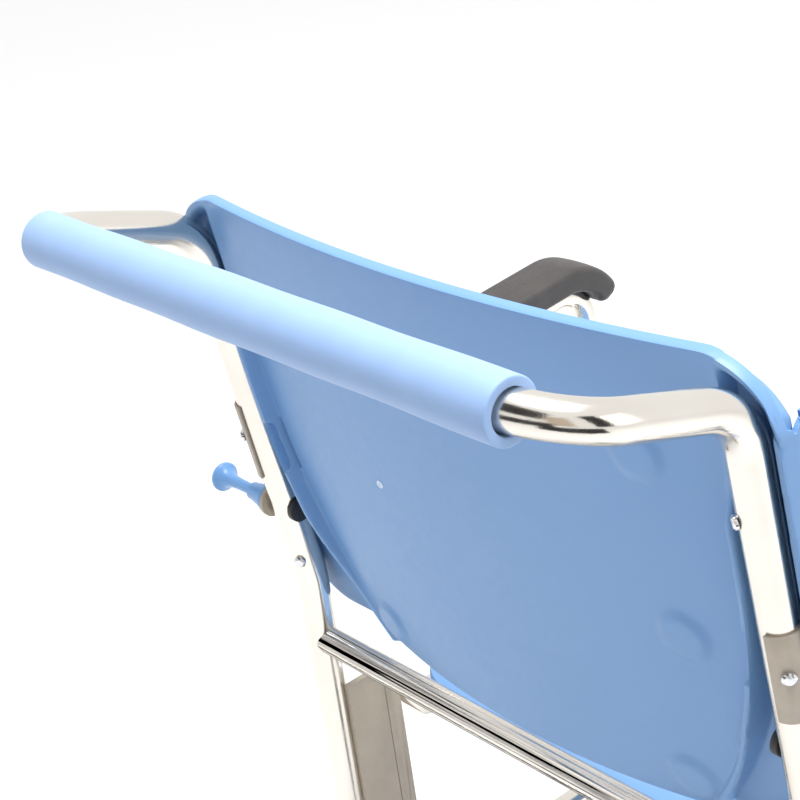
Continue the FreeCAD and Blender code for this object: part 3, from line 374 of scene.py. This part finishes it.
def moulded_blue():
    made, tree, shader = finish("moulded_blue", SHELL_BLUE, 0.38, Coat_Weight=0.06,
                                Coat_Roughness=0.3)
    tint(tree, shader, spread(tree, noise(tree, 5), 0.0, 1.0), SHELL_BLUE, (0.165, 0.330, 0.612))
    tree.links.new(spread(tree, noise(tree, 120), 0.34, 0.44), shader.inputs["Roughness"])
    relief(tree, shader, noise(tree, 1400, 3), 0.00004)
    return made


def closed(piece, angle=40):
    """Merges a piece's seams, points its faces outwards and smooths it."""
    bpy.ops.object.select_all(action="DESELECT")
    bpy.context.view_layer.objects.active = piece
    piece.select_set(True)
    bpy.ops.object.mode_set(mode="EDIT")
    bpy.ops.mesh.select_all(action="SELECT")
    bpy.ops.mesh.remove_doubles(threshold=0.00002)
    bpy.ops.mesh.normals_make_consistent(inside=False)
    bpy.ops.object.mode_set(mode="OBJECT")
    bpy.ops.object.shade_smooth_by_angle(angle=math.radians(angle))


def grid(name, columns, rows, place):
    """A grid of faces, each point put where place(across, down) says, from 0 to 1."""
    bpy.ops.object.select_all(action="DESELECT")
    bpy.ops.mesh.primitive_grid_add(x_subdivisions=columns, y_subdivisions=rows, size=2)
    piece = bpy.context.object
    piece.name = name
    for vertex in piece.data.vertices:
        vertex.co = place((vertex.co.x + 1) / 2, (1 - vertex.co.y) / 2)
    return piece


def rounded_block(name, low, high, radius, segments=3):
    """A block between two corners with its edges rounded over."""
    low, high = Vector(low), Vector(high)
    bpy.ops.object.select_all(action="DESELECT")
    bpy.ops.mesh.primitive_cube_add(size=1, location=(low + high) / 2)
    piece = bpy.context.object
    piece.name = name
    piece.scale = high - low
    bpy.ops.object.transform_apply()
    rounding = piece.modifiers.new("rounding", "BEVEL")
    rounding.width = radius
    rounding.segments = segments
    bpy.ops.object.modifier_apply(modifier="rounding")
    return piece


def carve(piece, tools):
    """Takes the tools' shapes out of a piece and throws the tools away."""
    for tool in tools:
        bpy.ops.object.select_all(action="DESELECT")
        bpy.context.view_layer.objects.active = piece
        piece.select_set(True)
        bite = piece.modifiers.new("bite", "BOOLEAN")
        bite.operation = "DIFFERENCE"
        bite.object = tool
        bpy.ops.object.modifier_apply(modifier="bite")
        bpy.data.objects.remove(tool)


def lie_of(point):
    """Where a point lies in the plane of the back: across, down, and rearwards."""
    from_top = point - Vector((0, UPRIGHT_TOP.y, UPRIGHT_TOP.z))
    return abs(point.x), from_top.dot(DOWN), from_top.dot(REAR)


def notch_wings(piece):
    """Cuts the wings away beside the armrest brackets and trues the edges of the cut."""
    mesh = bmesh.new()
    mesh.from_mesh(piece.data)
    inside = set()
    for vertex in mesh.verts:
        across, along, _ = lie_of(vertex.co)
        if across > NOTCH_IN and NOTCH_TOP < along < NOTCH_FOOT:
            inside.add(vertex)
    gone = [face for face in mesh.faces if all(vertex in inside for vertex in face.verts)]
    bmesh.ops.delete(mesh, geom=gone, context="FACES")
    for vertex in inside:
        if not vertex.is_valid:
            continue
        across, along, _ = lie_of(vertex.co)
        inwards, upwards, downwards = across - NOTCH_IN, along - NOTCH_TOP, NOTCH_FOOT - along
        if inwards <= min(upwards, downwards):
            vertex.co.x = math.copysign(NOTCH_IN, vertex.co.x)
        else:
            vertex.co += DOWN * (downwards if downwards < upwards else -upwards)
    mesh.to_mesh(piece.data)
    mesh.free()


def press_slots(piece):
    """A shallow strap slot pressed into the inner face of each ridge."""
    for vertex in piece.data.vertices:
        across, along, _ = lie_of(vertex.co)
        over = smooth_step(along, SLOT_TOP, SLOT_TOP + SLOT_ROUND)
        over -= smooth_step(along, SLOT_FOOT - SLOT_ROUND, SLOT_FOOT)
        edge = panel_edge(along)
        if edge - 0.0080 < across < edge - 0.0008:
            vertex.co -= REAR * SLOT_DEEP * over


SHELL = moulded_blue()
shell = grid("moulded_back", 320, 112, lambda part, row: shell_point(2 * part - 1, row))
soften = shell.modifiers.new("soften", "SMOOTH")
soften.factor = 0.5
soften.iterations = 2
bpy.ops.object.modifier_apply(modifier="soften")
press_slots(shell)
notch_wings(shell)
closed(shell, 50)
if sum(polygon.normal.dot(REAR) for polygon in shell.data.polygons) < 0:
    shell.data.flip_normals()
wall = shell.modifiers.new("wall", "SOLIDIFY")
wall.thickness = SHELL_WALL
wall.offset = -1
bpy.ops.object.modifier_apply(modifier="wall")
rim = shell.modifiers.new("rim", "BEVEL")
rim.width = 0.0008
rim.segments = 2
rim.limit_method = "ANGLE"
rim.angle_limit = math.radians(60)
bpy.ops.object.modifier_apply(modifier="rim")
bpy.ops.object.shade_smooth_by_angle(angle=math.radians(50))
dress(shell, "rear_frame", "blue_shell", SHELL, "back_shell")


# Sprue mark: where the plastic entered the mould, a small pale ring with a dimple, trimmed
# by hand and left on the panel's rear face.
SPRUE_RADIUS = 0.0032
SPRUE_ACROSS = 0.095
SPRUE_ALONG = 0.165
BOWED_HALF = 0.225


def turned(name, profile, base, axis, around=64):
    """A piece of revolution: profile gives (radius, height) along the axis."""
    axis = Vector(axis).normalized()
    across = axis.orthogonal().normalized()
    other = axis.cross(across)
    last = len(profile) - 1

    def place(turn, down):
        radius, height = profile[round(down * last)]
        spoke = across * math.cos(turn * math.tau) + other * math.sin(turn * math.tau)
        return Vector(base) + axis * height + spoke * radius

    piece = grid(name, around, last, place)
    closed(piece)
    return piece


def trimmed_plastic():
    made, tree, shader = finish("trimmed_plastic", (0.62, 0.74, 0.90), 0.6)
    tint(tree, shader, spread(tree, noise(tree, 900), 0.0, 1.0), (0.55, 0.69, 0.88), (0.80, 0.88, 0.96))
    return made


sprue_proud = PANEL_BACK + BOW * (1 - (SPRUE_ACROSS / BOWED_HALF) ** 2)
sprue = turned("sprue_mark", [(0, 0), (SPRUE_RADIUS, 0), (SPRUE_RADIUS, 0.0006),
                              (SPRUE_RADIUS - 0.0006, 0.0010), (0.0014, 0.0009), (0.0011, 0.0003),
                              (0, 0.0003)],
               on_back(SPRUE_ACROSS, SPRUE_ALONG, sprue_proud - 0.0002), REAR, 32)
dress(sprue, "rear_frame", "blue_shell", trimmed_plastic())


# Every other hard part keeps its CAD shape: its faces are merged, its sharp edges broken
# by a small bevel, and it gets the finish of its own metal or plastic.
def broken_edges(node, body, slot, material, edge=0.0005):
    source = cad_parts[node]
    bpy.ops.object.select_all(action="DESELECT")
    piece = source.copy()
    piece.data = source.data.copy()
    piece.name = node + "_finished"
    piece.parent = None
    bpy.context.collection.objects.link(piece)
    piece.hide_render = False
    bpy.context.view_layer.objects.active = piece
    piece.select_set(True)
    bpy.ops.object.mode_set(mode="EDIT")
    bpy.ops.mesh.select_all(action="SELECT")
    bpy.ops.mesh.remove_doubles(threshold=0.00002)
    bpy.ops.mesh.tris_convert_to_quads()
    bpy.ops.object.mode_set(mode="OBJECT")
    if edge:
        bevel = piece.modifiers.new("edge", "BEVEL")
        bevel.width = edge
        bevel.segments = 2
        bevel.limit_method = "ANGLE"
        bevel.angle_limit = math.radians(40)
        bevel.use_clamp_overlap = True
        bpy.ops.object.modifier_apply(modifier="edge")
    bpy.ops.object.shade_smooth_by_angle(angle=math.radians(35))
    return dress(piece, body, slot, material, node)


# Screws, bolts and pins are zinc plated, the saddles and brackets are pressed from steel
# with a satin coat, and the small caps are black plastic.
def plated_steel():
    made, tree, shader = finish("plated_steel", (0.78, 0.79, 0.81), 0.18, 1.0)
    tree.links.new(spread(tree, noise(tree, 260), 0.14, 0.30), shader.inputs["Roughness"])
    tint(tree, shader, spread(tree, noise(tree, 120), 0.0, 1.0), (0.80, 0.81, 0.83), (0.70, 0.71, 0.74))
    return made


def coated_metal():
    made, tree, shader = finish("coated_metal", (0.47, 0.41, 0.34), 0.5, 0.35)
    tint(tree, shader, spread(tree, noise(tree, 40), 0.0, 1.0), (0.49, 0.43, 0.36), (0.44, 0.385, 0.32))
    tree.links.new(spread(tree, noise(tree, 200), 0.42, 0.58), shader.inputs["Roughness"])
    relief(tree, shader, noise(tree, 1800, 2), 0.00003)
    return made


def grained(name, dark, light, smooth, rough, grain, depth):
    """Moulded plastic or rubber: two close shades, uneven gloss and a fine grain."""
    made, tree, shader = finish(name, dark, rough)
    tint(tree, shader, spread(tree, noise(tree, 45), 0.0, 1.0), dark, light)
    tree.links.new(spread(tree, noise(tree, 300), smooth, rough), shader.inputs["Roughness"])
    relief(tree, shader, noise(tree, grain, 3), depth)
    return made


PLATED = plated_steel()
COATED = coated_metal()
DARK = grained("black_plastic", (0.020, 0.020, 0.022), (0.030, 0.030, 0.032), 0.40, 0.58, 1500, 0.00005)
for node in ("shell_screws", "saddle_screws", "arm_pivot_bolts", "hinge_pins", "rear_axle",
             "axle_spacers", "axle_nuts"):
    broken_edges(node, "rear_frame", "plated_steel", PLATED)
for node in ("saddle_left", "saddle_right", "arm_bracket_left", "arm_bracket_right",
             "hinge_plate_left", "hinge_plate_right"):
    broken_edges(node, "rear_frame", "satin_metal", COATED)
for node in ("inner_caps", "rear_leg_plugs"):
    broken_edges(node, "rear_frame", "black_plastic", DARK, 0.001)
for node in ("upper_cross_tube", "lower_cross_tube"):
    broken_edges(node, "rear_frame", "bright_tube", BRIGHT, 0)


# Armrest release: a blue cone fixed to the bracket, and a pull knob whose neck flares into
# a domed disc. Both are turned shapes, moulded in a harder blue than the back.
KNOB_BLUE = (0.150, 0.340, 0.660)


def knob_blue():
    made, tree, shader = finish("knob_blue", KNOB_BLUE, 0.33, Coat_Weight=0.15, Coat_Roughness=0.2)
    tint(tree, shader, spread(tree, noise(tree, 80), 0.0, 1.0), KNOB_BLUE, (0.165, 0.360, 0.690))
    relief(tree, shader, noise(tree, 1600, 2), 0.00003)
    return made


KNOB = knob_blue()
CONE = [(0.0040, 0), (0.0112, 0), (0.0117, 0.0006), (0.0117, 0.0030), (0.0108, 0.0036),
        (0.0100, 0.0080), (0.0084, 0.0150), (0.0072, 0.0220), (0.0072, 0.0238), (0.0064, 0.0252),
        (0.0056, 0.0259), (0.0040, 0.0259), (0.0040, 0)]
PULL = [(0, 0), (0.0034, 0.0002), (0.0034, 0.0296), (0.0045, 0.0302), (0.0046, 0.0440),
        (0.0052, 0.0530), (0.0066, 0.0590), (0.0092, 0.0630), (0.0113, 0.0645), (0.0120, 0.0655),
        (0.0120, 0.0672), (0.0114, 0.0684), (0.0092, 0.0698), (0.0055, 0.0709), (0, 0.0712)]
for name, side in SIDES:
    low, high = (Vector(corner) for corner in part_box("knob_housing_" + name))
    centre = (low + high) / 2
    centre.x = side * min(abs(low.x), abs(high.x))
    housing = turned("release_cone_" + name, CONE, centre, (side, 0, 0), 56)
    dress(housing, "rear_frame", "blue_knob", KNOB, "knob_housing_" + name)
    low, high = (Vector(corner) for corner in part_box("pull_knob_" + name))
    centre.x = side * min(abs(low.x), abs(high.x))
    pull = turned("release_knob_" + name, PULL, centre, (side, 0, 0), 56)
    dress(pull, "knob_" + name, "blue_knob", KNOB, "pull_knob_" + name)


# Armrest pads: soft black foam with a moulded skin, straight on top, rolled over the nose
# of the tube, and grooved underneath where the tube lies.
REST_X = 0.313
REST_PIVOT = Vector((0, 0.180, 0.629))
REST_NOSE = Vector((0, -0.190, 0.658))
REST_TIP = Vector((0, -0.197, 0.608))
REST_BEND = 0.032
REST_RADIUS = 0.011
PAD_HALF = 0.0250
PAD_THICK = 0.0230
PAD_LIFT = 0.0195
PAD_START = 0.060
PAD_CURL = math.radians(72)
PAD_EDGE = 0.0055

rest_along = (REST_NOSE - REST_PIVOT).normalized()
rest_away = (REST_TIP - REST_NOSE).normalized()
rest_turn = rest_along.angle(rest_away)
rest_centre = REST_NOSE + (rest_away - rest_along).normalized() * REST_BEND / math.cos(rest_turn / 2)
rest_up = (REST_NOSE - rest_along * REST_BEND * math.tan(rest_turn / 2) - rest_centre).normalized()
pad_begin = REST_PIVOT + rest_along * PAD_START + rest_up * PAD_LIFT
pad_turns = rest_centre + rest_up * (REST_BEND + PAD_LIFT)
pad_straight = (pad_turns - pad_begin).length
pad_length = pad_straight + PAD_CURL * (REST_BEND + PAD_LIFT)


def pad_spine(reach):
    """The pad's middle line and its upward direction, that far from its rear end."""
    if reach <= pad_straight:
        return pad_begin + rest_along * reach, rest_up
    angle = (reach - pad_straight) / (REST_BEND + PAD_LIFT)
    upward = rest_up * math.cos(angle) + rest_along * math.sin(angle)
    return rest_centre + upward * (REST_BEND + PAD_LIFT), upward


def pad_outline(turn, half, high):
    """A point round the pad's section: an oblong with its corners rounded."""
    around = turn * 4 * (half + high)
    if around < 2 * half:
        point = Vector((around - half, high))
    elif around < 2 * half + 2 * high:
        point = Vector((half, high - (around - 2 * half)))
    elif around < 4 * half + 2 * high:
        point = Vector((half - (around - 2 * half - 2 * high), -high))
    else:
        point = Vector((-half, -high + around - 4 * half - 2 * high))
    edge = min(PAD_EDGE, half * 0.98, high * 0.98)
    inner = Vector((max(edge - half, min(half - edge, point.x)), max(edge - high, min(high - edge, point.y))))
    outwards = point - inner
    return inner + outwards.normalized() * edge if outwards.length > 0 else point


def pad_point(side, turn, run):
    reach = run * pad_length
    end = min(reach, pad_length - reach)
    shrink = math.sqrt(max(0.0, 1 - (1 - min(1.0, end / 0.010)) ** 2))
    middle, upward = pad_spine(reach)
    point = pad_outline(turn, PAD_HALF - 0.008 * (1 - shrink), PAD_THICK / 2 * max(shrink, 0.02))
    if point.y > 0:
        point.y += 0.0014 * (1 - (point.x / PAD_HALF) ** 2) * shrink
    clear = REST_RADIUS + 0.0002
    if math.hypot(point.x, point.y + PAD_LIFT) < clear:
        point.y = math.sqrt(clear * clear - point.x * point.x) - PAD_LIFT
    return Vector((side * REST_X + point.x, middle.y, middle.z)) + upward * point.y


PAD_SKIN = grained("pad_skin", (0.048, 0.043, 0.041), (0.062, 0.056, 0.053), 0.42, 0.54, 1100, 0.00006)
for name, side in SIDES:
    arm_pad = grid("arm_cushion_" + name, 120, 110, lambda turn, run: pad_point(side, turn, run))
    closed(arm_pad, 50)
    bpy.ops.object.mode_set(mode="EDIT")
    bpy.ops.mesh.select_all(action="SELECT")
    bpy.ops.mesh.fill_holes(sides=0)
    bpy.ops.mesh.normals_make_consistent(inside=False)
    bpy.ops.object.mode_set(mode="OBJECT")
    dress(arm_pad, "armrest_" + name, "black_pad", PAD_SKIN, "arm_pad_" + name)
    broken_edges("arm_plugs_" + name, "armrest_" + name, "black_plastic", DARK)
    broken_edges("arm_tube_" + name, "armrest_" + name, "bright_tube", BRIGHT)


# Seat: the same blue plastic as the back, dished for the sitter with a raised rim, a rolled
# skirt and rows of drain holes, screwed down on a bent-tube frame.
seat_low, seat_high = (Vector(corner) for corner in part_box("seat_panel"))
seat_middle = (seat_low + seat_high) / 2
seat_half = (seat_high - seat_low) / 2
SEAT_DISH = 0.0070
SEAT_SKIRT = 0.05
SEAT_SQUARE = 7.0
SEAT_WALL = 0.0036
DRAIN_ROWS, DRAIN_COLUMNS = 4, 5
DRAIN_APART_X, DRAIN_APART_Y = 0.052, 0.058
DRAIN_RADIUS = 0.0045
DRAIN_REACH = 0.03


def seat_point(across, down):
    x, y = 2 * across - 1, 2 * down - 1
    out = max(abs(x), abs(y))
    reach = min(1.0, out / (1 - SEAT_SKIRT))
    if out:
        round_off = (abs(x / out) ** SEAT_SQUARE + abs(y / out) ** SEAT_SQUARE) ** (-1 / SEAT_SQUARE)
        x, y = x / out * round_off * reach, y / out * round_off * reach
    bowl = 1 - smooth_step(math.hypot(x, y * 0.92), 0.20, 0.90)
    height = seat_high.z - 0.0008 - SEAT_DISH * bowl - 0.002 * smooth_step(reach, 0.96, 1.0)
    height -= 0.0110 * max(0.0, out - (1 - SEAT_SKIRT)) / SEAT_SKIRT
    return Vector((seat_middle.x + x * seat_half.x, seat_middle.y + y * seat_half.y, height))


seat = grid("dished_seat", 110, 110, seat_point)
closed(seat, 50)
if sum(polygon.normal.z for polygon in seat.data.polygons) < 0:
    seat.data.flip_normals()
skin = seat.modifiers.new("skin", "SOLIDIFY")
skin.thickness = SEAT_WALL
skin.offset = -1
bpy.ops.object.modifier_apply(modifier="skin")
drain = [(0, -DRAIN_REACH), (DRAIN_RADIUS, -DRAIN_REACH), (DRAIN_RADIUS, DRAIN_REACH), (0, DRAIN_REACH)]
holes = []
for row in range(DRAIN_ROWS):
    for column in range(DRAIN_COLUMNS):
        across = (column - (DRAIN_COLUMNS - 1) / 2) * DRAIN_APART_X
        down = (row - (DRAIN_ROWS - 1) / 2) * DRAIN_APART_Y
        at = Vector((across, seat_middle.y + down, seat_middle.z))
        holes.append(turned("drain", drain, at, (0, 0, 1), 24))
carve(seat, holes)
bpy.ops.object.shade_smooth_by_angle(angle=math.radians(45))
dress(seat, "seat", "blue_shell", SHELL, "seat_panel")
broken_edges("seat_frame", "seat", "bright_tube", BRIGHT)
broken_edges("seat_screws", "seat", "plated_steel", PLATED)


# Folding linkage and front frame: bent aluminium tubes on steel pins, with the footrest
# board hung from two lugs. The board is ribbed so that a shoe doesn't slip.
broken_edges("lower_link_frame", "lower_link", "bright_tube", BRIGHT)
broken_edges("front_frame", "front_frame", "bright_tube", BRIGHT)
for node in ("front_pivot_pins", "footrest_pins", "lift_pins"):
    broken_edges(node, "front_frame", "plated_steel", PLATED)
for node in ("front_leg_caps", "castor_sockets"):
    broken_edges(node, "front_frame", "black_plastic", DARK)
broken_edges("footrest_lugs", "front_frame", "satin_metal", COATED)
broken_edges("footrest_arms", "footrest", "satin_metal", COATED)
broken_edges("footrest_board", "footrest", "black_plastic", DARK, 0.002)
board_low, board_high = (Vector(corner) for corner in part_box("footrest_board"))
TREAD_COUNT = 9
TREAD_INSET = 0.018
TREAD_HALF = 0.0022
TREAD_SUNK, TREAD_PROUD = 0.001, 0.0016
TREAD_ROUND = 0.0010
for number in range(TREAD_COUNT):
    y = board_low.y + (board_high.y - board_low.y) * (number + 1) / (TREAD_COUNT + 1)
    tread_low = (board_low.x + TREAD_INSET, y - TREAD_HALF, board_high.z - TREAD_SUNK)
    tread_high = (board_high.x - TREAD_INSET, y + TREAD_HALF, board_high.z + TREAD_PROUD)
    tread = rounded_block("tread_%d" % number, tread_low, tread_high, TREAD_ROUND)
    closed(tread)
    dress(tread, "footrest", "black_plastic", DARK)


# Lift handles: aluminium tube with a ribbed rubber grip that has a flange at each end.
GRIP = grained("grip_rubber", (0.018, 0.018, 0.018), (0.028, 0.027, 0.026), 0.62, 0.80, 1300, 0.00008)
RIBS = 11
GRIP_BORE = 0.0101
for name, side in SIDES:
    low, high = (Vector(corner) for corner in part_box("lift_grip_" + name))
    middle = (low + high) / 2
    tall = high.z - low.z
    outer = (high.x - low.x) / 2
    profile = [(GRIP_BORE, 0), (outer - 0.001, 0), (outer, 0.001), (outer, 0.005), (outer - 0.003, 0.006)]
    for rib in range(RIBS):
        at = 0.009 + (tall - 0.018) * rib / (RIBS - 1)
        profile += [(outer - 0.0034, at - 0.0026), (outer - 0.0014, at - 0.0014),
                    (outer - 0.0014, at + 0.0014), (outer - 0.0034, at + 0.0026)]
    profile += [(outer - 0.003, tall - 0.006), (outer, tall - 0.005), (outer, tall - 0.001),
                (outer - 0.001, tall), (GRIP_BORE, tall), (GRIP_BORE, 0)]
    grip = turned("ribbed_grip_" + name, profile, (middle.x, middle.y, low.z), (0, 0, 1), 48)
    dress(grip, "lift_handle_" + name, "grip_rubber", GRIP, "lift_grip_" + name)
    broken_edges("lift_tube_" + name, "lift_handle_" + name, "bright_tube", BRIGHT)


# Wheels: grey moulded centres with tyres pressed on. Each tyre has rounded shoulders and
# grooves round its tread.
RUBBER = grained("tyre_rubber", (0.105, 0.105, 0.108), (0.130, 0.130, 0.132), 0.66, 0.82, 1200, 0.00007)
WHEEL = grained("grey_plastic", (0.160, 0.165, 0.172), (0.185, 0.190, 0.196), 0.40, 0.52, 1500, 0.00004)


def tyre(name, node, body, bore, grooves):
    low, high = (Vector(corner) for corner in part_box(node))
    middle = (low + high) / 2
    half = (high.x - low.x) / 2
    outer = (high.z - low.z) / 2
    profile = [(bore, -half), (bore + 0.002, -half), (outer - 0.0045, -half),
               (outer - 0.0018, -half + 0.0010), (outer - 0.0005, -half + 0.0030)]
    for groove in grooves:
        profile += [(outer, groove - 0.0014), (outer - 0.0020, groove - 0.0008),
                    (outer - 0.0020, groove + 0.0008), (outer, groove + 0.0014)]
    profile += [(outer - 0.0005, half - 0.0030), (outer - 0.0018, half - 0.0010), (outer - 0.0045, half),
                (bore + 0.002, half), (bore, half), (bore, -half)]
    piece = turned(name, profile, middle, (1, 0, 0), 128)
    dress(piece, body, "tyre_rubber", RUBBER, node)


CASTOR_TYRE_BORE, CASTOR_GROOVES = 0.041, (0,)
REAR_TYRE_BORE, REAR_GROOVES = 0.074, (-0.006, 0, 0.006)
for name, side in SIDES:
    broken_edges("castor_fork_" + name, "castor_" + name, "satin_metal", COATED)
    broken_edges("castor_axle_" + name, "castor_" + name, "plated_steel", PLATED)
    broken_edges("castor_wheel_" + name, "castor_wheel_" + name, "grey_plastic", WHEEL)
    tyre("castor_tread_" + name, "castor_tyre_" + name, "castor_wheel_" + name,
         CASTOR_TYRE_BORE, CASTOR_GROOVES)
    broken_edges("rear_wheel_" + name, "rear_wheel_" + name, "grey_plastic", WHEEL)
    tyre("rear_tread_" + name, "rear_tyre_" + name, "rear_wheel_" + name,
         REAR_TYRE_BORE, REAR_GROOVES)


# Studio: a pale floor that fades into a white world, a soft light above and one to the
# side, and dark boards out of view that give the bright tube something to reflect.
bpy.ops.object.select_all(action="DESELECT")
bpy.ops.mesh.primitive_plane_add(size=14, location=(0, 0, 0))
floor = bpy.context.object
floor.name = "floor"
pale, _, _ = finish("pale_floor", (0.93, 0.93, 0.93), 0.9)
floor.data.materials.append(pale)
world = bpy.data.worlds.new("studio")
world.use_nodes = True
world.node_tree.nodes["Background"].inputs["Color"].default_value = (1, 1, 1, 1)
world.node_tree.nodes["Background"].inputs["Strength"].default_value = 1.0
bpy.context.scene.world = world
bpy.context.scene.view_settings.view_transform = "Standard"
board_black, _, _ = finish("board_black", (0.012, 0.012, 0.013), 0.9)
board_tan, _, _ = finish("board_tan", (0.50, 0.42, 0.33), 0.9)


def dark_board(name, place, width, height, paint=board_black, shades=False):
    bpy.ops.object.select_all(action="DESELECT")
    bpy.ops.mesh.primitive_plane_add(size=1)
    board = bpy.context.object
    board.name = name
    face = (BAR - Vector(place)).to_track_quat("Z", "Y")
    for vertex in board.data.vertices:
        vertex.co = Vector(place) + face @ Vector((vertex.co.x * width, vertex.co.y * height, 0))
    board.data.materials.append(paint)
    board.visible_camera = False
    board.visible_shadow = False
    board.visible_diffuse = shades


dark_board("board_rear", (-0.3, 2.2, 0.70), 2.8, 0.7)
dark_board("board_low", (-1.3, 1.1, 0.20), 1.7, 0.8, shades=True)
dark_board("board_side", (-2.0, 0.3, 1.5), 0.6, 1.6)
dark_board("board_far", (2.0, 0.4, 1.5), 0.7, 1.6)
dark_board("board_over", (0.0, 1.6, 1.95), 2.6, 1.1, shades=True)
dark_board("board_cream", (-2.1, 1.9, 1.55), 1.1, 1.7, board_tan)


def soft_light(name, place, aim, width, power):
    bpy.ops.object.select_all(action="DESELECT")
    bpy.ops.object.light_add(type="AREA", location=place)
    lamp = bpy.context.object
    lamp.name = name
    lamp.data.shape = "SQUARE"
    lamp.data.size = width
    lamp.data.energy = power
    lamp.rotation_mode = "QUATERNION"
    lamp.rotation_quaternion = (Vector(aim) - Vector(place)).to_track_quat("-Z", "Y")


soft_light("key", (-0.3, 0.1, 2.8), BAR, 1.2, 60)
soft_light("fill", (-2.4, -0.6, 1.6), BAR, 1.8, 6)
